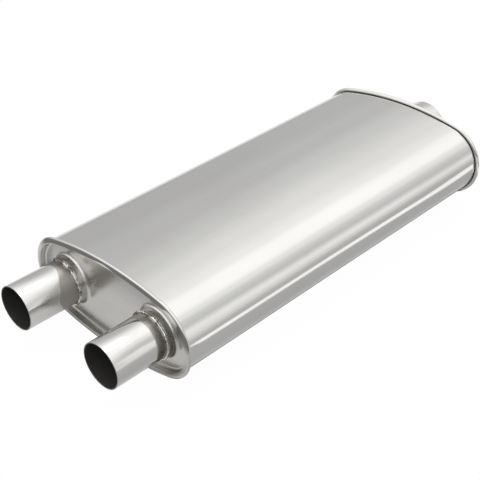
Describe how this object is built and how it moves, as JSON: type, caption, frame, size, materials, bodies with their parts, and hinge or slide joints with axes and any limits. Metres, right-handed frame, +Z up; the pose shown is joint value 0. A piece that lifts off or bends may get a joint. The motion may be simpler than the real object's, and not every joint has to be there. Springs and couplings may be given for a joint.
{
  "type": "exhaust muffler",
  "caption": "Flat-oval stainless exhaust muffler with rolled rims, welded slip-fit inlet and outlet necks, baffles and packed perforated tubes inside.",
  "frame": {"origin": "middle of the overall length and width, on the ground under the two rims", "axes": "+X along the body from the inlet end to the outlet end, +Y to the left when looking along +X, +Z up"},
  "size_m": [0.634, 0.2568, 0.1178],
  "materials": {
    "shell_steel": "bright rolled stainless sheet, finely brushed along its length",
    "head_steel": "drawn stainless sheet, satin",
    "neck_steel": "drawn stainless tube, satin",
    "weld_steel": "bare rippled weld bead",
    "core_steel": "plain mill finish",
    "steel_wool": "fine wound steel wool",
    "packing": "needled glass-fibre matting"
  },
  "bodies": {
    "root": {"shell": "shell_steel", "shell_seam": "weld_steel", "inlet_head": "head_steel", "outlet_head": "head_steel", "left_inlet_neck": "neck_steel", "right_inlet_neck": "neck_steel", "outlet_neck": "neck_steel", "left_inlet_weld": "weld_steel", "right_inlet_weld": "weld_steel", "outlet_weld": "weld_steel", "left_core_tube": "core_steel", "right_core_tube": "core_steel", "outlet_core_tube": "core_steel", "left_wool_sleeve": "steel_wool", "right_wool_sleeve": "steel_wool", "outlet_wool_sleeve": "steel_wool", "front_packing": "packing", "rear_packing": "packing", "front_baffle": "core_steel", "rear_baffle": "core_steel", "left_core_weld": "weld_steel", "right_core_weld": "weld_steel", "outlet_core_weld": "weld_steel"}
  },
  "joints": []
}
